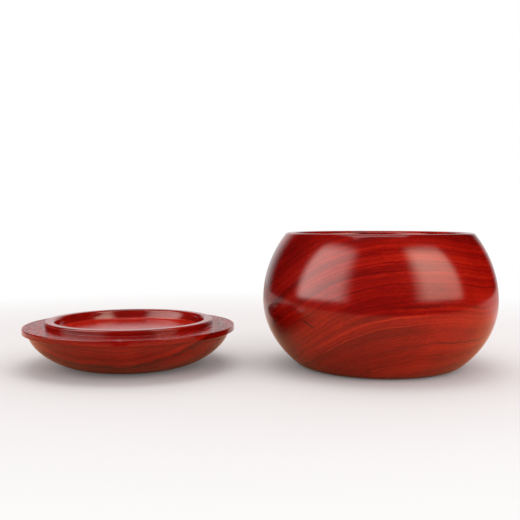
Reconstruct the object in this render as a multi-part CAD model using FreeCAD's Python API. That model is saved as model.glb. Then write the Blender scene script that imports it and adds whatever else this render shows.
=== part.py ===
import FreeCAD, Part
import math
import os

# Go stone bowl: a turned wooden bowl and its turned wooden lid.
# Millimetres, +Z up. The origin is the centre of the bowl's foot, on the table.
# The lid lies upside down on its flattened crown, to the -X side of the bowl.

# --- Bowl: outside ---
BELLY_RADIUS = 70.0          # widest radius of the bowl
BELLY_LEVEL = 40.3           # height of the widest ring above the table
BELLY_RISE = 66.3            # half height of the ellipse above the widest ring
BELLY_DROP = 54.0            # half height of the ellipse below it
BOWL_HEIGHT = 80.5           # table to the top of the lip
FOOT_EDGE_ROUND = 15.0        # eases the wall into the foot
LIP_OUTER_ROUND = 3.0

# --- Bowl: inside ---
MOUTH_RADIUS = 51.0          # straight wall just inside the lip
MOUTH_DEPTH = 6.4            # top of the lip to the end of that wall
LIP_INNER_ROUND = 2.5
WALL = 6.5                   # wall thickness at the belly
FLOOR = 8.0                  # thickness of wood under the stones
HOLLOW_DROP = 46.0           # half height of the hollow's lower ellipse
HOLLOW_FLOOR_ROUND = 12.0
UNDER_LIP_ROUND = 1.0

# --- Lid, as it lies with its crown on the table ---
DOME_RADIUS = 60.8           # semi-axis of the dome's ellipse
DOME_RISE = 29.8
DOME_LEVEL = 25.0            # height of that ellipse's centre
CROWN_BLEND = 42.0           # radius that eases the flat crown into the dome
FLANGE_RADIUS = 63.3
FLANGE_TOP = 24.8            # height of the face that sits on the bowl's lip
FLANGE_THICKNESS = 3.8
FLANGE_TOP_ROUND = 0.6
FLANGE_LOWER_ROUND = 1.7
FLANGE_COVE = 2.2            # concave corner between the flange and the dome

# --- Lid: plug ring and the dished recess inside it ---
PLUG_CLEARANCE = 0.8         # radial gap between the plug and the bowl's mouth
PLUG_RADIUS = MOUTH_RADIUS - PLUG_CLEARANCE
PLUG_HEIGHT = 3.3            # how far the ring stands up from the flange
PLUG_OUTER_ROUND = 1.8
PLUG_ROOT_ROUND = 0.4
RECESS_RADIUS = 44.6
RECESS_DEPTH = 5.9           # top of the ring to the recess floor
RECESS_SWEEP = 12.0          # radius of the curve in which the recess wall runs in towards the floor
RECESS_INNER_ROUND = 1.6
RECESS_COVE = 0.8            # concave corner at the recess floor

# --- Where the lid lies ---
LID_X = -151.0
TOLERANCE = 1e-3


def point(radius, height):
    """A point of a half section, in the XZ plane."""
    return FreeCAD.Vector(radius, 0, height)


def line(start, end):
    return Part.LineSegment(start, end).toShape()


def ellipse_radius(radius, half_height, level, height):
    """Radius of a vertical ellipse of revolution at one height."""
    return radius * math.sqrt(1 - ((height - level) / half_height) ** 2)


def ellipse_arc(radius, half_height, level, start_height, end_height):
    """The part of a vertical ellipse between two heights."""
    ellipse = Part.Ellipse(point(radius, level), point(0, level + half_height), point(0, level))
    angles = [math.asin((height - level) / half_height) for height in (start_height, end_height)]
    return Part.ArcOfEllipse(ellipse, min(angles), max(angles)).toShape()


def swept_wall(radius, top, bottom, sweep):
    """An arc that leaves the top straight down and curves in: (its radius at the bottom, the arc)."""
    end_angle = math.asin((top - bottom) / sweep)
    angles = [0, end_angle / 2, end_angle]
    inset = radius - sweep
    points = [point(inset + sweep * math.cos(angle), top - sweep * math.sin(angle)) for angle in angles]
    return points[-1].x, Part.Arc(*points).toShape()


def turn(section):
    """Turn a closed half section about the Z axis into one solid."""
    wire = Part.Wire(Part.__sortEdges__(section))
    solid = Part.Face(wire).revolve(FreeCAD.Vector(0, 0, 0), FreeCAD.Vector(0, 0, 1), 360)
    return Part.makeSolid(solid.Shells[0])


def round_ring(solid, radius, height, round_radius):
    """Round the circular edge that lies at one radius and height."""
    edges = [edge for edge in solid.Edges if is_ring(edge, radius, height)]
    return solid.makeFillet(round_radius, edges)


def is_ring(edge, radius, height):
    if not isinstance(edge.Curve, Part.Circle):
        return False
    same_radius = abs(edge.Curve.Radius - radius) < TOLERANCE
    return same_radius and abs(edge.Curve.Center.z - height) < TOLERANCE


def make_bowl():
    """The open bowl: a flattened sphere with a flat foot and a narrower mouth."""
    foot = ellipse_radius(BELLY_RADIUS, BELLY_DROP, BELLY_LEVEL, 0)
    lip = ellipse_radius(BELLY_RADIUS, BELLY_RISE, BELLY_LEVEL, BOWL_HEIGHT)
    mouth_end = BOWL_HEIGHT - MOUTH_DEPTH
    hollow = BELLY_RADIUS - WALL
    # The hollow's upper ellipse ends exactly at the foot of the mouth's straight wall.
    hollow_rise = (mouth_end - BELLY_LEVEL) / math.sqrt(1 - (MOUTH_RADIUS / hollow) ** 2)
    floor = ellipse_radius(hollow, HOLLOW_DROP, BELLY_LEVEL, FLOOR)
    section = [
        line(point(0, 0), point(foot, 0)),
        ellipse_arc(BELLY_RADIUS, BELLY_DROP, BELLY_LEVEL, 0, BELLY_LEVEL),
        ellipse_arc(BELLY_RADIUS, BELLY_RISE, BELLY_LEVEL, BELLY_LEVEL, BOWL_HEIGHT),
        line(point(lip, BOWL_HEIGHT), point(MOUTH_RADIUS, BOWL_HEIGHT)),
        line(point(MOUTH_RADIUS, BOWL_HEIGHT), point(MOUTH_RADIUS, mouth_end)),
        ellipse_arc(hollow, hollow_rise, BELLY_LEVEL, BELLY_LEVEL, mouth_end),
        ellipse_arc(hollow, HOLLOW_DROP, BELLY_LEVEL, FLOOR, BELLY_LEVEL),
        line(point(floor, FLOOR), point(0, FLOOR)),
        line(point(0, FLOOR), point(0, 0)),
    ]
    bowl = turn(section)
    bowl = round_ring(bowl, foot, 0, FOOT_EDGE_ROUND)
    bowl = round_ring(bowl, lip, BOWL_HEIGHT, LIP_OUTER_ROUND)
    bowl = round_ring(bowl, MOUTH_RADIUS, BOWL_HEIGHT, LIP_INNER_ROUND)
    bowl = round_ring(bowl, MOUTH_RADIUS, mouth_end, UNDER_LIP_ROUND)
    return round_ring(bowl, floor, FLOOR, HOLLOW_FLOOR_ROUND)


def make_lid():
    """The lid upside down: flat crown, dome, flange, plug ring and dished recess."""
    crown = ellipse_radius(DOME_RADIUS, DOME_RISE, DOME_LEVEL, 0)
    flange_bottom = FLANGE_TOP - FLANGE_THICKNESS
    neck = ellipse_radius(DOME_RADIUS, DOME_RISE, DOME_LEVEL, flange_bottom)
    plug_top = FLANGE_TOP + PLUG_HEIGHT
    recess_floor = plug_top - RECESS_DEPTH
    floor_radius, recess_wall = swept_wall(RECESS_RADIUS, plug_top, recess_floor, RECESS_SWEEP)
    section = [
        line(point(0, 0), point(crown, 0)),
        ellipse_arc(DOME_RADIUS, DOME_RISE, DOME_LEVEL, 0, flange_bottom),
        line(point(neck, flange_bottom), point(FLANGE_RADIUS, flange_bottom)),
        line(point(FLANGE_RADIUS, flange_bottom), point(FLANGE_RADIUS, FLANGE_TOP)),
        line(point(FLANGE_RADIUS, FLANGE_TOP), point(PLUG_RADIUS, FLANGE_TOP)),
        line(point(PLUG_RADIUS, FLANGE_TOP), point(PLUG_RADIUS, plug_top)),
        line(point(PLUG_RADIUS, plug_top), point(RECESS_RADIUS, plug_top)),
        recess_wall,
        line(point(floor_radius, recess_floor), point(0, recess_floor)),
        line(point(0, recess_floor), point(0, 0)),
    ]
    lid = turn(section)
    lid = round_ring(lid, crown, 0, CROWN_BLEND)
    lid = round_ring(lid, neck, flange_bottom, FLANGE_COVE)
    lid = round_ring(lid, FLANGE_RADIUS, flange_bottom, FLANGE_LOWER_ROUND)
    lid = round_ring(lid, FLANGE_RADIUS, FLANGE_TOP, FLANGE_TOP_ROUND)
    lid = round_ring(lid, PLUG_RADIUS, FLANGE_TOP, PLUG_ROOT_ROUND)
    lid = round_ring(lid, PLUG_RADIUS, plug_top, PLUG_OUTER_ROUND)
    lid = round_ring(lid, floor_radius, recess_floor, RECESS_COVE)
    lid = round_ring(lid, RECESS_RADIUS, plug_top, RECESS_INNER_ROUND)
    lid.translate(FreeCAD.Vector(LID_X, 0, 0))
    return lid


os.makedirs("parts", exist_ok=True)
make_bowl().exportStep("parts/bowl.step")
make_lid().exportStep("parts/lid.step")
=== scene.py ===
"""A go stone bowl with its lid lying upside down beside it, in red hardwood under clear lacquer.

Everything is in metres in the shared frame. The sections, the wood figure and the chip are in millimetres.
"""

import math

import bpy
import numpy as np
from mathutils import Matrix, Vector, noise


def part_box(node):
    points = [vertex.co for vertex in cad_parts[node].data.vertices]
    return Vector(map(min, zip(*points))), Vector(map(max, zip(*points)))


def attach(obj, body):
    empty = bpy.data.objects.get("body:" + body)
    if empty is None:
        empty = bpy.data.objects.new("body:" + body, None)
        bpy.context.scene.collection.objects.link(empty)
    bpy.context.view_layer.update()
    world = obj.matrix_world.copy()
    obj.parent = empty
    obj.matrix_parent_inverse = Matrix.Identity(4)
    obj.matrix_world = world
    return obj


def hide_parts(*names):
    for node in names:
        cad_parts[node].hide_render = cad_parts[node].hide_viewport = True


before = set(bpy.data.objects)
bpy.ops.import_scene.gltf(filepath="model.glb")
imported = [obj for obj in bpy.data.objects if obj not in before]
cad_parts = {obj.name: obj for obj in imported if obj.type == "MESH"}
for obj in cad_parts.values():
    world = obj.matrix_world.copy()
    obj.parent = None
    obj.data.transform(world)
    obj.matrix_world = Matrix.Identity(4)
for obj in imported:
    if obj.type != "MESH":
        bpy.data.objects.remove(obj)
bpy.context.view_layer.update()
MM = 0.001

# --- Bowl section, in millimetres, as the CAD has it ---
BELLY_RADIUS = 70.0
BELLY_LEVEL = 40.3
BELLY_RISE = 66.3
BELLY_DROP = 54.0
BOWL_HEIGHT = 80.5
FOOT_EDGE_ROUND = 15.0
LIP_OUTER_ROUND = 3.0
MOUTH_RADIUS = 51.0
MOUTH_DEPTH = 6.4
LIP_INNER_ROUND = 2.5
WALL = 6.5
FLOOR = 8.0
HOLLOW_DROP = 46.0
HOLLOW_FLOOR_ROUND = 12.0
UNDER_LIP_ROUND = 1.0

# --- Lid section, crown down ---
DOME_RADIUS = 60.8
DOME_RISE = 29.8
DOME_LEVEL = 25.0
CROWN_BLEND = 42.0
FLANGE_RADIUS = 63.3
FLANGE_TOP = 24.8
FLANGE_THICKNESS = 3.8
FLANGE_TOP_ROUND = 0.6
FLANGE_LOWER_ROUND = 1.7
FLANGE_COVE = 2.2
PLUG_CLEARANCE = 0.8
PLUG_RADIUS = MOUTH_RADIUS - PLUG_CLEARANCE
PLUG_HEIGHT = 3.3
PLUG_OUTER_ROUND = 1.0       # crisper than the CAD's 1.8
PLUG_ROOT_ROUND = 0.4
RECESS_RADIUS = 44.6
RECESS_DEPTH = 5.9
RECESS_SWEEP = 12.0
RECESS_INNER_ROUND = 1.6
RECESS_COVE = 0.8
LID_X = -151.0

# --- Mesh fineness ---
SEGMENTS = 256               # around the turning axis
LONGEST_STEP = 2.2           # along a section, in millimetres
LARGEST_TURN = math.radians(6)
DENSE = 3000                 # points on each curve before it is thinned
ARC_POINTS = 200             # points on each rounded corner before it is thinned
SAME_PLACE = 1e-6            # points closer than this are taken as one, in millimetres
WAVINESS = 0.02              # how far hand sanding leaves the surface uneven, in millimetres
WAVE_LENGTH = 22.0


# ------------------------------------------------------------------ sections


def ellipse_radius(radius, half_height, level, height):
    """Radius of a vertical ellipse of revolution at one height."""
    return radius * math.sqrt(1 - ((height - level) / half_height) ** 2)


def ellipse(radius, half_height, level, start, end):
    """Points on a vertical ellipse from one height to another."""
    angles = [math.asin((height - level) / half_height) for height in (start, end)]
    swept = np.linspace(angles[0], angles[1], DENSE)
    return np.stack([radius * np.cos(swept), level + half_height * np.sin(swept)], 1)


def straight(start, end):
    return np.linspace(start, end, DENSE)


def swept_wall(radius, top, bottom, sweep):
    """Points on an arc that leaves the top straight down and curves in."""
    swept = np.linspace(0, math.asin((top - bottom) / sweep), DENSE)
    return np.stack([radius - sweep + sweep * np.cos(swept), top - sweep * np.sin(swept)], 1)


def left_normals(curve):
    """Unit normals on the left of the way the curve runs."""
    along = np.gradient(curve, axis=0)
    along /= np.linalg.norm(along, axis=1)[:, None]
    return np.stack([-along[:, 1], along[:, 0]], 1)


def round_corner(first, second, radius):
    """Roll a ball into the corner between two curves: (first cut short, arc, second cut short)."""
    normals = left_normals(first)
    ahead = second[1] - second[0]
    side = math.copysign(1, float(normals[-1] @ ahead))
    for i in range(len(first) - 2, 0, -1):
        centre = first[i] + side * radius * normals[i]
        reach = np.linalg.norm(second - centre, axis=1)
        rising = np.append(np.diff(reach) > 0, True)
        j = int(np.argmax(rising))
        if reach[j] >= radius:
            break
    start = math.atan2(*(first[i] - centre)[::-1])
    end = math.atan2(*(second[j] - centre)[::-1])
    turn = (end - start + math.pi) % (2 * math.pi) - math.pi
    swept = start + np.linspace(0, turn, ARC_POINTS)
    arc = centre + radius * np.stack([np.cos(swept), np.sin(swept)], 1)
    return first[:i], arc, second[j + 1:]


def join(curves, rounds):
    """One section from curves that meet end to end, with the corner after each curve rounded."""
    section = curves[0]
    for curve, radius in zip(curves[1:], rounds, strict=True):
        parts = round_corner(section, curve, radius) if radius else (section, curve[1:])
        section = np.concatenate(parts)
    return section


def thin_out(section):
    """Fewer points: closer together where the section turns, further apart where it runs straight."""
    gaps = np.linalg.norm(np.diff(section, axis=0), axis=1)
    section = section[np.append(True, gaps > SAME_PLACE)]
    steps = np.diff(section, axis=0)
    lengths = np.linalg.norm(steps, axis=1)
    headings = np.unwrap(np.arctan2(steps[:, 1], steps[:, 0]))
    turns = np.abs(np.diff(headings, prepend=headings[0]))
    effort = np.concatenate([[0], np.cumsum(lengths / LONGEST_STEP + turns / LARGEST_TURN)])
    stops = np.linspace(0, effort[-1], int(effort[-1]) + 2)
    return np.stack([np.interp(stops, effort, section[:, k]) for k in (0, 1)], 1)


def bowl_section():
    """From the centre of the foot, out and up, over the lip and down to the centre of the floor."""
    foot = ellipse_radius(BELLY_RADIUS, BELLY_DROP, BELLY_LEVEL, 0)
    lip = ellipse_radius(BELLY_RADIUS, BELLY_RISE, BELLY_LEVEL, BOWL_HEIGHT)
    mouth_end = BOWL_HEIGHT - MOUTH_DEPTH
    hollow = BELLY_RADIUS - WALL
    hollow_rise = (mouth_end - BELLY_LEVEL) / math.sqrt(1 - (MOUTH_RADIUS / hollow) ** 2)
    floor = ellipse_radius(hollow, HOLLOW_DROP, BELLY_LEVEL, FLOOR)
    curves = [
        straight((0, 0), (foot, 0)),
        ellipse(BELLY_RADIUS, BELLY_DROP, BELLY_LEVEL, 0, BELLY_LEVEL),
        ellipse(BELLY_RADIUS, BELLY_RISE, BELLY_LEVEL, BELLY_LEVEL, BOWL_HEIGHT),
        straight((lip, BOWL_HEIGHT), (MOUTH_RADIUS, BOWL_HEIGHT)),
        straight((MOUTH_RADIUS, BOWL_HEIGHT), (MOUTH_RADIUS, mouth_end)),
        ellipse(hollow, hollow_rise, BELLY_LEVEL, mouth_end, BELLY_LEVEL),
        ellipse(hollow, HOLLOW_DROP, BELLY_LEVEL, BELLY_LEVEL, FLOOR),
        straight((floor, FLOOR), (0, FLOOR)),
    ]
    rounds = [FOOT_EDGE_ROUND, 0, LIP_OUTER_ROUND, LIP_INNER_ROUND, UNDER_LIP_ROUND, 0, HOLLOW_FLOOR_ROUND]
    return thin_out(join(curves, rounds))


def lid_section():
    """From the centre of the crown, out along the dome and flange, over the plug ring into the recess."""
    crown = ellipse_radius(DOME_RADIUS, DOME_RISE, DOME_LEVEL, 0)
    under = FLANGE_TOP - FLANGE_THICKNESS
    neck = ellipse_radius(DOME_RADIUS, DOME_RISE, DOME_LEVEL, under)
    top = FLANGE_TOP + PLUG_HEIGHT
    recess = top - RECESS_DEPTH
    recess_wall = swept_wall(RECESS_RADIUS, top, recess, RECESS_SWEEP)
    curves = [
        straight((0, 0), (crown, 0)),
        ellipse(DOME_RADIUS, DOME_RISE, DOME_LEVEL, 0, under),
        straight((neck, under), (FLANGE_RADIUS, under)),
        straight((FLANGE_RADIUS, under), (FLANGE_RADIUS, FLANGE_TOP)),
        straight((FLANGE_RADIUS, FLANGE_TOP), (PLUG_RADIUS, FLANGE_TOP)),
        straight((PLUG_RADIUS, FLANGE_TOP), (PLUG_RADIUS, top)),
        straight((PLUG_RADIUS, top), (RECESS_RADIUS, top)),
        recess_wall,
        straight(recess_wall[-1], (0, recess)),
    ]
    rounds = [
        CROWN_BLEND, FLANGE_COVE, FLANGE_LOWER_ROUND, FLANGE_TOP_ROUND,
        PLUG_ROOT_ROUND, PLUG_OUTER_ROUND, RECESS_INNER_ROUND, RECESS_COVE,
    ]
    return thin_out(join(curves, rounds))


# -------------------------------------------------------------------- meshes


def dent_depth(spot, chips):
    """How far the surface lies below the section at one place, from hand sanding and from chips."""
    depth = WAVINESS * (1 + noise.noise(spot / WAVE_LENGTH)) / 2
    for place, size, chip_depth in chips:
        depth += chip_depth * max(0.0, 1 - (spot - place).length / size)
    return depth


def turned(name, section, centre, chips=()):
    """A closed body of revolution about a vertical axis. A chip is (place, size, depth), in millimetres."""
    rings = section[1:-1]
    inward = left_normals(section)[1:-1]
    angles = np.linspace(0, 2 * math.pi, SEGMENTS, endpoint=False)
    points = [Vector((0, 0, section[0, 1]))]
    for (radius, height), (inward_r, inward_z) in zip(rings, inward, strict=True):
        for angle in angles:
            spot = Vector((radius * math.cos(angle), radius * math.sin(angle), height))
            depth = dent_depth(spot, chips)
            r = radius + depth * inward_r
            points.append(Vector((r * math.cos(angle), r * math.sin(angle), height + depth * inward_z)))
    points.append(Vector((0, 0, section[-1, 1])))
    last = len(points) - 1
    faces = []
    for i in range(SEGMENTS):
        beside = (i + 1) % SEGMENTS
        faces.append((0, 1 + beside, 1 + i))
        faces.append((last, last - SEGMENTS + i, last - SEGMENTS + beside))
        for ring in range(len(rings) - 1):
            low = 1 + ring * SEGMENTS
            high = low + SEGMENTS
            faces.append((low + i, low + beside, high + beside, high + i))
    mesh = bpy.data.meshes.new(name)
    mesh.from_pydata([centre + point * MM for point in points], [], faces)
    mesh.shade_smooth()
    piece = bpy.data.objects.new(name, mesh)
    bpy.context.scene.collection.objects.link(piece)
    return piece


# ----------------------------------------------------------------- materials


class Nodes:
    """Adds nodes to one tree and links them, so that a material reads as a list of steps."""

    def __init__(self, tree):
        self.tree = tree
        tree.nodes.clear()

    def add(self, kind, inputs=None, **settings):
        node = self.tree.nodes.new(kind)
        for name, value in settings.items():
            setattr(node, name, value)
        for name, value in (inputs or {}).items():
            self.feed(node.inputs[name], value)
        return node

    def feed(self, socket, value):
        if isinstance(value, bpy.types.NodeSocket):
            self.tree.links.new(value, socket)
        else:
            socket.default_value = value

    def math(self, operation, first, second=0.0, third=0.0, clamp=False):
        inputs = {0: first, 1: second, 2: third}
        return self.add("ShaderNodeMath", inputs, operation=operation, use_clamp=clamp).outputs[0]

    def spread(self, value, low, high, to_low=0.0, to_high=1.0):
        """The value eased from one range to another."""
        inputs = {"Value": value, "From Min": low, "From Max": high, "To Min": to_low, "To Max": to_high}
        return self.add("ShaderNodeMapRange", inputs, interpolation_type="SMOOTHSTEP").outputs["Result"]

    def stretch(self, vector, scale):
        return self.add("ShaderNodeMapping", {"Vector": vector, "Scale": scale}).outputs["Vector"]

    def noise(self, vector, scale=(1, 1, 1), detail=2.0, roughness=0.5, distortion=0.0):
        inputs = {
            "Vector": self.stretch(vector, scale), "Scale": 1.0, "Detail": detail,
            "Roughness": roughness, "Distortion": distortion,
        }
        return self.add("ShaderNodeTexNoise", inputs).outputs["Fac"]

    def bands(self, distance, scale, detail=2.0, roughness=0.5):
        inputs = {"W": distance, "Scale": scale, "Detail": detail, "Roughness": roughness}
        return self.add("ShaderNodeTexNoise", inputs, noise_dimensions="1D").outputs["Fac"]

    def mix(self, share, first, second, blend="MIX"):
        node = self.add("ShaderNodeMix", data_type="RGBA", blend_type=blend)
        self.feed(node.inputs["Factor"], share)
        self.feed(node.inputs["A"], first)
        self.feed(node.inputs["B"], second)
        return node.outputs["Result"]


def block_axes(grain_turn, grain_rise, tilt):
    """Axes of the wood block: across the grain, along it, and straight out from the pith.

    The grain is turned from +X about Z and then raised. A tilt of 0 keeps the outward axis level, and
    90 degrees points it down.
    """
    grain = Vector((
        math.cos(grain_turn) * math.cos(grain_rise),
        math.sin(grain_turn) * math.cos(grain_rise),
        math.sin(grain_rise),
    ))
    level = Vector((math.sin(grain_turn), -math.cos(grain_turn), 0))
    down = grain.cross(level)
    outward = level * math.cos(tilt) + down * math.sin(tilt)
    return Matrix((grain, outward.cross(grain), outward)).transposed()


# --- Colours of the wood under its red stain ---
DARK_RED = (0.078, 0.0008, 0.0003, 1)
RED = (0.222, 0.0018, 0.0004, 1)
BRIGHT_RED = (0.410, 0.0090, 0.0008, 1)
LINE_RED = (0.050, 0.0008, 0.0004, 1)
PALE_RED = (0.560, 0.0220, 0.0040, 1)
PORE_RED = (0.040, 0.0012, 0.0007, 1)


def block_space(n, place, centre, pith_distance, axes):
    """Coordinates of the wood block in millimetres: along the grain, across it, and out from the pith."""
    pith = centre - axes.col[2] * pith_distance * MM
    inputs = {"Vector": place, "Location": pith, "Rotation": axes.to_euler(), "Scale": (MM, MM, MM)}
    return n.add("ShaderNodeMapping", inputs, vector_type="TEXTURE").outputs["Vector"]


def ring_distance(n, block):
    """Distance from the pith in millimetres, bent by slow and quick wanderings of the growth rings."""
    parts = n.add("ShaderNodeSeparateXYZ", {0: block})
    squares = [n.math("MULTIPLY", parts.outputs[k], parts.outputs[k]) for k in (1, 2)]
    radius = n.math("SQRT", n.math("ADD", *squares))
    slow = n.math("SUBTRACT", n.noise(block, (0.012, 0.03, 0.03), detail=1.0), 0.5)
    quick = n.math("SUBTRACT", n.noise(block, (0.045, 0.16, 0.16), detail=3.0), 0.5)
    ring = n.math("MULTIPLY_ADD", slow, 5.0, radius)
    return n.math("MULTIPLY_ADD", quick, 2.2, ring)


def band_share(n, ring, along, band):
    """How strongly one band shows: it has a place in the rings and a stretch along the grain."""
    distance, half_width, strength, start, end = band
    off = n.math("ABSOLUTE", n.math("SUBTRACT", ring, distance))
    share = n.spread(off, 0.0, half_width, strength, 0.0)
    share = n.math("MULTIPLY", share, n.spread(along, start - BAND_FADE, start + BAND_FADE))
    return n.math("MULTIPLY", share, n.spread(along, end - BAND_FADE, end + BAND_FADE, 1.0, 0.0))


def crack_share(n, ring, along, crack):
    """How strongly one short crack shows: it runs at a slope across the rings."""
    distance, place, slope, half_width, half_length = crack
    offset = n.math("SUBTRACT", along, place)
    level = n.math("MULTIPLY_ADD", offset, -slope, n.math("SUBTRACT", ring, distance))
    share = n.spread(n.math("ABSOLUTE", level), 0.0, half_width, 0.85, 0.0)
    length = n.spread(n.math("ABSOLUTE", offset), half_length / 2, half_length, 1.0, 0.0)
    return n.math("MULTIPLY", share, length)


def grain_tone(n, block, ring, along, fibre, bands):
    """How light the wood is: growth bands, fine lines that come and go, fibres and slow mottling."""
    broad = n.spread(n.bands(ring, 0.11, detail=1.0), 0.3, 0.7)
    narrow = n.spread(n.bands(ring, 0.55, detail=2.0, roughness=0.6), 0.3, 0.7)
    patches = n.spread(n.noise(block, (0.03, 0.08, 0.08), detail=2.0), 0.35, 0.65)
    lines = n.spread(n.bands(ring, 1.7, detail=2.0, roughness=0.7), 0.3, 0.7)
    lines = n.math("MULTIPLY", n.math("SUBTRACT", lines, 0.5), patches)
    mottle = n.noise(block, (0.02, 0.05, 0.05), detail=2.0)
    tone = n.math("MULTIPLY_ADD", broad, 0.26, 0.02)
    tone = n.math("MULTIPLY_ADD", narrow, 0.20, tone)
    tone = n.math("MULTIPLY_ADD", lines, 0.34, tone)
    tone = n.math("MULTIPLY_ADD", n.spread(fibre, 0.25, 0.75), 0.34, tone)
    tone = n.math("MULTIPLY_ADD", n.spread(mottle, 0.3, 0.7), 0.18, tone)
    for band in bands:
        tone = n.math("ADD", tone, band_share(n, ring, along, band))
    return tone


def wood(name, centre, figure, finish):
    """Hardwood under clear lacquer, with rings about a pith outside the piece.

    figure holds "block", the distance of the pith and the axes; "bands", which change the tone; "streaks",
    a list for each tint; and "cracks". A band or streak is its distance from the pith, half width,
    strength, and start and end along the grain. A crack is its distance from the pith, place along the
    grain, slope, half width and half length. Lengths are in millimetres.
    """
    material = bpy.data.materials.new(name)
    material.use_nodes = True
    n = Nodes(material.node_tree)
    place = n.add("ShaderNodeTexCoord").outputs["Object"]
    block = block_space(n, place, centre, *figure["block"])
    along = n.add("ShaderNodeSeparateXYZ", {0: block}).outputs["X"]
    ring = ring_distance(n, block)
    fibre = n.noise(block, (0.06, 1.5, 1.5), detail=5.0, roughness=0.7)
    tone = grain_tone(n, block, ring, along, fibre, figure["bands"])
    # A finish shifts the tone: a little darker for wear on the rubbed seat, lighter on the dished floor as
    # painted light.
    tone = n.math("ADD", tone, finish["tone"])
    ramp = n.add("ShaderNodeValToRGB", {"Fac": tone})
    ramp.color_ramp.elements[0].color = DARK_RED
    ramp.color_ramp.elements[1].color = BRIGHT_RED
    ramp.color_ramp.elements.new(0.5).color = RED
    colour = ramp.outputs["Color"]

    patchy = n.spread(n.noise(block, (0.03, 0.1, 0.1), detail=2.0), 0.3, 0.6, 0.3, 1.0)
    for tint, streaks in figure["streaks"].items():
        for streak in streaks:
            share = n.math("MULTIPLY", band_share(n, ring, along, streak), patchy)
            colour = n.mix(share, colour, tint)
    for crack in figure["cracks"]:
        colour = n.mix(crack_share(n, ring, along, crack), colour, PORE_RED)

    # Short dark pores that the lacquer leaves visible.
    pore = n.spread(n.noise(block, (0.2, 3.0, 3.0), detail=1.0), 0.68, 0.76)
    colour = n.mix(n.math("MULTIPLY", pore, 0.45), colour, PORE_RED)

    # The lacquer follows the grain a little and has a faint orange peel of its own.
    peel = n.noise(place, (260.0, 260.0, 260.0), detail=1.0)
    height = n.math("MULTIPLY_ADD", fibre, 0.6, n.math("MULTIPLY", pore, -0.8))
    bump = n.add("ShaderNodeBump", {"Strength": 0.12, "Distance": 0.00006, "Height": height})
    coat_height = n.math("MULTIPLY_ADD", fibre, 0.35, n.math("MULTIPLY", peel, 0.5))
    coat_bump = n.add("ShaderNodeBump", {
        "Strength": finish["bump"], "Distance": 0.00005, "Height": coat_height,
    })
    lacquer = 1.0
    if finish["wear"]:
        worn = n.spread(n.noise(place, (750.0, 750.0, 750.0), detail=3.0), 0.40, 0.60)
        lacquer = n.math("MULTIPLY_ADD", worn, -finish["wear"], 1.0)
    shader = n.add("ShaderNodeBsdfPrincipled", {
        "Base Color": colour,
        "Roughness": n.spread(fibre, 0.2, 0.8, 0.45, 0.60),
        "Specular IOR Level": 0.0,
        "Coat Weight": lacquer,
        "Coat Roughness": finish["roughness"],
        "Coat IOR": 1.5,
        "Normal": bump.outputs["Normal"],
        "Coat Normal": coat_bump.outputs["Normal"],
    })
    n.add("ShaderNodeOutputMaterial", {"Surface": shader.outputs[0]})
    return material


def floor_material():
    """Pale paper that burns out to white away from the object."""
    material = bpy.data.materials.new("floor_paper")
    material.use_nodes = True
    n = Nodes(material.node_tree)
    place = n.add("ShaderNodeTexCoord").outputs["Object"]
    away = n.add("ShaderNodeVectorMath", {0: place, 1: FADE_CENTRE}, operation="SUBTRACT").outputs[0]
    away = n.stretch(away, (0.8, 1, 1))
    distance = n.add("ShaderNodeVectorMath", {0: away}, operation="LENGTH").outputs["Value"]
    fade = n.spread(distance, *FADE_RADII)
    path = n.add("ShaderNodeLightPath")
    mirrored = path.outputs["Is Glossy Ray"]
    depth = n.add("ShaderNodeSeparateXYZ", {0: place}).outputs["Y"]
    mirror_tint = n.mix(n.spread(depth, *MIRROR_DEPTHS), MIRRORED_FRONT, MIRRORED_BACK)
    strength = n.math("MULTIPLY_ADD", path.outputs["Is Diffuse Ray"], FLOOR_GLOW - 1, 1.0)
    paper = n.add("ShaderNodeBsdfDiffuse", {"Color": n.mix(mirrored, FLOOR_COLOUR, mirror_tint)}).outputs[0]
    white_tint = n.mix(mirrored, (1, 1, 1, 1), mirror_tint)
    white = n.add("ShaderNodeEmission", {"Color": white_tint, "Strength": strength}).outputs[0]
    lift = n.math("MULTIPLY", path.outputs["Is Camera Ray"], FLOOR_LIFT)
    glow = n.add("ShaderNodeEmission", {"Color": (1, 0.96, 0.95, 1), "Strength": lift}).outputs[0]
    paper = n.add("ShaderNodeAddShader", {0: paper, 1: glow}).outputs[0]
    mixed = n.add("ShaderNodeMixShader", {0: fade, 1: paper, 2: white})
    n.add("ShaderNodeOutputMaterial", {"Surface": mixed.outputs[0]})
    return material


# ---------------------------------------------------------- stage and lights

TABLE_CENTRE = Vector((-0.07, 0.75, 0))
TABLE_RADIUS = 1.0
TABLE_CORNERS = 96
FADE_CENTRE = (-0.07, 0.07, 0)
FADE_RADII = (0.15, 0.41)
FLOOR_COLOUR = (0.595, 0.568, 0.562, 1)
FLOOR_LIFT = 0.07            # even glow that keeps the shadows on the floor open
FLOOR_GLOW = 1.8             # light from the burnt-out floor on matt surfaces
# How the floor looks in the lacquer: dull and warm in front, nearly white behind, between these depths.
MIRRORED_FRONT = (0.60, 0.31, 0.16, 1)
MIRRORED_BACK = (0.68, 0.53, 0.49, 1)
MIRROR_DEPTHS = (-0.04, 0.16)

# Brightness of the surroundings on matt surfaces, from each side, and of the white wall in the lacquer.
BACK_LIGHT = 1.5
FRONT_LIGHT = 1.55
LOW_SHARE = 0.15             # share of the light from the front that is left close to the table
SIDE_LIGHT = 1.0
WALL_SHINE = 0.85
LEFT_TINT = (1.0, 0.80, 0.74)
RIGHT_TINT = (1.0, 0.80, 0.64)
SOFTBOX_WIDTH = 0.62
SOFTBOX_DISTANCE = 0.5
EDGE_FADE = 0.15             # width of the dim border of a softbox
FAR_SHARE = 0.65             # brightness of a softbox on its dimmer side

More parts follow.
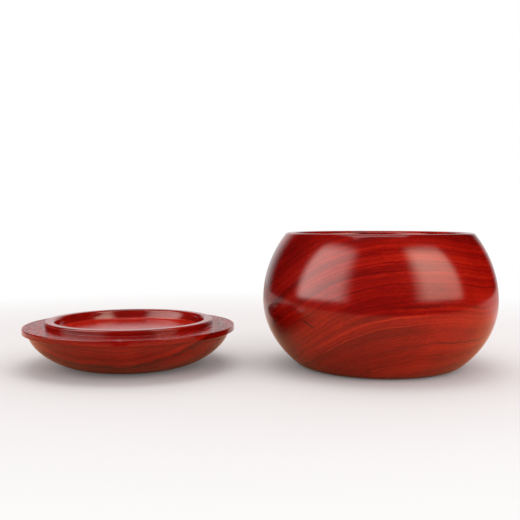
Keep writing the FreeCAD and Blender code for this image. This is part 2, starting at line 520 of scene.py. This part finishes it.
CAMERA_PLACE = (-0.0719, -0.4598, 0.0899)
CAMERA_PITCH = math.radians(90 - 3.254)    # level would be 90 degrees
CAMERA_LENS = 52.59          # focal length in millimetres
SENSOR_WIDTH = 36.0          # in millimetres


def make_floor():
    """A round sheet of paper under the object and behind it."""
    mesh = bpy.data.meshes.new("floor")
    angles = [2 * math.pi * i / TABLE_CORNERS for i in range(TABLE_CORNERS)]
    rim = [TABLE_CENTRE + TABLE_RADIUS * Vector((math.cos(a), math.sin(a), 0)) for a in angles]
    mesh.from_pydata(rim, [], [tuple(range(TABLE_CORNERS))])
    mesh.materials.append(floor_material())
    floor = bpy.data.objects.new("floor", mesh)
    bpy.context.scene.collection.objects.link(floor)


def make_world():
    """White to the eye everywhere. As a light it is strongest behind the object and weakest at its sides."""
    world = bpy.data.worlds.new("studio")
    bpy.context.scene.world = world
    world.use_nodes = True
    n = Nodes(world.node_tree)
    direction = n.add("ShaderNodeTexCoord").outputs["Generated"]
    parts = n.add("ShaderNodeSeparateXYZ", {0: direction})
    toward_back = parts.outputs["Y"]
    upward = parts.outputs["Z"]
    behind = n.spread(toward_back, 0.4, 0.95, SIDE_LIGHT, BACK_LIGHT)
    in_front = n.spread(toward_back, -0.4, -0.95, SIDE_LIGHT, FRONT_LIGHT)
    in_front = n.math("MULTIPLY", in_front, n.spread(upward, 0.0, 0.40, LOW_SHARE, 1.0))
    path = n.add("ShaderNodeLightPath")
    glow = n.math("MULTIPLY", n.math("MAXIMUM", behind, in_front), path.outputs["Is Diffuse Ray"])
    wall = n.spread(toward_back, 0.72, 0.95, 0.0, WALL_SHINE)
    shine = n.math("MULTIPLY", wall, path.outputs["Is Glossy Ray"])
    strength = n.math("ADD", n.math("ADD", glow, shine), path.outputs["Is Camera Ray"])
    background = n.add("ShaderNodeBackground", {"Color": (1, 1, 1, 1), "Strength": strength})
    n.add("ShaderNodeOutputWorld", {"Surface": background.outputs[0]})


def panel(name, place, facing, width, height, brightness, tint=(1.0, 1.0, 1.0)):
    """A rectangular light that the camera doesn't see."""
    light = bpy.data.lights.new(name, "AREA")
    light.shape = "RECTANGLE"
    light.size = width
    light.size_y = height
    light.color = tint
    light.energy = brightness * math.pi * width * height
    lamp = bpy.data.objects.new(name, light)
    lamp.location = place
    lamp.rotation_euler = facing.to_track_quat("-Z", "Y").to_euler()
    lamp.visible_camera = False
    bpy.context.scene.collection.objects.link(lamp)
    return lamp


def shade_panel(lamp, along, bright_side, share):
    """Let a panel fade at its edges, from its bright side to the other, and to a share at the bottom."""
    lamp.data.use_nodes = True
    n = Nodes(lamp.data.node_tree)
    place = n.add("ShaderNodeNewGeometry").outputs["Position"]
    offset = n.add("ShaderNodeVectorMath", {0: place, 1: lamp.location}, operation="SUBTRACT").outputs[0]
    across = n.add("ShaderNodeVectorMath", {0: offset, 1: along}, operation="DOT_PRODUCT").outputs["Value"]
    rise = n.add("ShaderNodeSeparateXYZ", {0: offset}).outputs["Z"]
    half_width = lamp.data.size / 2
    half_height = lamp.data.size_y / 2
    left_edge = n.spread(across, -half_width, -half_width + EDGE_FADE)
    right_edge = n.spread(across, half_width - EDGE_FADE, half_width, 1.0, 0.0)
    top_edge = n.spread(rise, half_height - 2 * EDGE_FADE, half_height, 1.0, 0.0)
    slope = n.spread(across, bright_side * half_width, half_width, 1.0, FAR_SHARE)
    level = n.spread(rise, -half_height, 0.0, share, 1.0)
    bottom_edge = n.spread(rise, -half_height, -half_height + EDGE_FADE / 4)
    ends = n.math("MULTIPLY", top_edge, bottom_edge)
    strength = n.math("MULTIPLY", n.math("MULTIPLY", left_edge, right_edge), ends)
    strength = n.math("MULTIPLY", strength, n.math("MULTIPLY", slope, level))
    emission = n.add("ShaderNodeEmission", {"Strength": strength})
    n.add("ShaderNodeOutputLight", {"Surface": emission.outputs[0]})


def softbox(name, turn, sideways, low, high, tint, shine, glow):
    """An upright panel, turned about the bowl from straight in front and shifted along its own width.

    It is a pair: one panel shows in the lacquer only, and a weaker one lights matt surfaces only.
    """
    outward = Vector((math.sin(turn), -math.cos(turn), 0))
    along = Vector((math.cos(turn), math.sin(turn), 0))
    place = outward * SOFTBOX_DISTANCE + along * sideways + Vector((0, 0, (low + high) / 2))
    size = (SOFTBOX_WIDTH, high - low)
    glossy = panel(name + "_shine", place, -outward, *size, shine, tint)
    glossy.visible_diffuse = False
    matt = panel(name + "_glow", place, -outward, *size, glow)
    matt.visible_glossy = False
    return glossy, along


def make_lights():
    """A softbox on each side of the camera and a soft light from above."""
    left = softbox("softbox_left", math.radians(-51), -0.128, 0.047, 0.850, LEFT_TINT, 5.6, 0.35)
    shade_panel(*left, -0.4, 1.0)
    right = softbox("softbox_right", math.radians(28), 0.235, 0.058, 0.840, RIGHT_TINT, 6.0, 1.9)
    shade_panel(*right, -0.5, 0.62)
    panel("overhead", Vector((-0.05, 0.0, 1.2)), Vector((0, 0, -1)), 0.8, 0.6, 2.3)


def make_camera():
    camera = bpy.data.cameras.new("camera")
    camera.lens = CAMERA_LENS
    camera.sensor_width = SENSOR_WIDTH
    eye = bpy.data.objects.new("camera", camera)
    eye.location = CAMERA_PLACE
    eye.rotation_euler = (CAMERA_PITCH, 0, 0)
    bpy.context.scene.collection.objects.link(eye)
    bpy.context.scene.camera = eye


# --------------------------------------------------------------------- build


GLOSSY = {"tone": 0.0, "wear": 0.0, "roughness": 0.13, "bump": 0.12}
RUBBED = {"tone": -0.04, "wear": 0.45, "roughness": 0.24, "bump": 0.8}
# The dished floor's finish raises its tone by 0.40: painted light on the recess floor.
DISHED_PAINTED_LIGHT = {"tone": 0.40, "wear": 0.0, "roughness": 0.22, "bump": 0.25}

BAND_FADE = 12.0
BOWL_FIGURE = {
    "block": (77.5, block_axes(math.radians(-11), math.radians(15), math.radians(102))),
    "bands": [
        (40.0, 12.0, -0.40, -60, -14),
        (54.0, 9.0, -0.28, 0, 90),
        (59.0, 4.0, -0.22, -8, 12),
        (66.0, 8.0, -0.28, -75, -38),
        (68.0, 5.0, 0.30, 14, 36),
        (75.5, 4.0, 0.26, 42, 90),
        (76.5, 6.0, 0.24, 14, 40),
        (81.5, 4.0, 0.18, 14, 50),
        (89.0, 5.0, -0.30, -18, 16),
        # Across all rings: darker towards the -X end along the grain.
        (90.0, 90.0, -0.42, -200, -52),
        (90.0, 12.0, 0.22, 48, 90),
        (94.0, 3.5, 0.30, 20, 90),
        (95.0, 5.0, 0.18, -45, -14),
        (101.0, 4.5, 0.40, 24, 90),
        (104.5, 5.0, -0.20, -16, 24),
        (110.0, 5.0, 0.28, 24, 90),
        (116.0, 8.0, 0.30, -50, 60),
    ],
    "streaks": {
        LINE_RED: [
            (66.3, 0.6, 0.45, -25, 15),
            (69.6, 0.5, 0.50, -30, 20),
            (75.2, 0.6, 0.55, -35, 15),
            (82.6, 0.7, 0.45, -60, 70),
            (93.1, 1.3, 0.70, 12, 60),
            (104.0, 0.5, 0.30, -50, 60),
            (109.3, 0.8, 0.70, -10, 60),
            (114.0, 0.6, 0.45, -20, 60),
        ],
        PALE_RED: [
            (97.3, 0.7, 0.55, -30, 50),
            (100.6, 0.5, 0.30, -60, 40),
        ],
    },
    "cracks": [(86.0, -36.0, 1.1, 0.9, 3.5)],
}
LID_FIGURE = {
    "block": (93.0, block_axes(math.radians(95), math.radians(-3), math.radians(86))),
    "bands": [(84.0, 6.0, -0.14, -90, -40)],
    "streaks": {
        LINE_RED: [
            (89.8, 0.6, 0.40, -80, 80),
            (94.0, 0.5, 0.35, -80, 80),
            (99.8, 1.6, 0.90, -90, -36),
        ],
    },
    "cracks": [],
}
CHIP_TURN = math.radians(-85)    # where the flange's edge is chipped, from +X about Z
CHIP_SIZE = 4.0
CHIP_DEPTH = 0.6


def make_bowl():
    """The bowl, in one wood and one finish inside and out."""
    centre = Vector((0, 0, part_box("bowl")[0].z))
    piece = turned("bowl_body", bowl_section(), centre)
    belly = centre + Vector((0, 0, BELLY_LEVEL * MM))
    piece.data.materials.append(wood("bowl_lacquered_wood", belly, BOWL_FIGURE, GLOSSY))
    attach(piece, "bowl")
    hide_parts("bowl")


def lid_finish(reach, height):
    """Which of the lid's three finishes a place has: 1 the rubbed seat, 2 the dished floor with its painted
    light, 0 the rest.
    """
    dish_level = FLANGE_TOP + PLUG_HEIGHT - RECESS_DEPTH
    if PLUG_RADIUS < reach < FLANGE_RADIUS - FLANGE_TOP_ROUND and height > FLANGE_TOP - FLANGE_TOP_ROUND:
        return 1
    return 2 if reach < RECESS_RADIUS and abs(height - dish_level) < RECESS_COVE else 0


def make_lid():
    """The lid, with its seat face rubbed dull by the bowl's lip and painted light on the dished floor, whose
    tone is raised.
    """
    centre = Vector((LID_X * MM, 0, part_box("lid")[0].z))
    chip = Vector((FLANGE_RADIUS * math.cos(CHIP_TURN), FLANGE_RADIUS * math.sin(CHIP_TURN), FLANGE_TOP))
    piece = turned("lid_body", lid_section(), centre, [(chip, CHIP_SIZE, CHIP_DEPTH)])
    middle = centre + Vector((0, 0, FLANGE_TOP / 2 * MM))
    for name, finish in (("lacquered_wood", GLOSSY), ("rubbed_seat", RUBBED), ("dished_floor_painted_light", DISHED_PAINTED_LIGHT)):
        piece.data.materials.append(wood("lid_" + name, middle, LID_FIGURE, finish))
    for face in piece.data.polygons:
        out = (face.center - centre) / MM
        face.material_index = lid_finish(math.hypot(out.x, out.y), out.z)
    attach(piece, "lid")
    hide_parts("lid")


make_camera()
make_world()
make_lights()
make_floor()
make_bowl()
make_lid()
bpy.context.scene.view_settings.view_transform = "Standard"
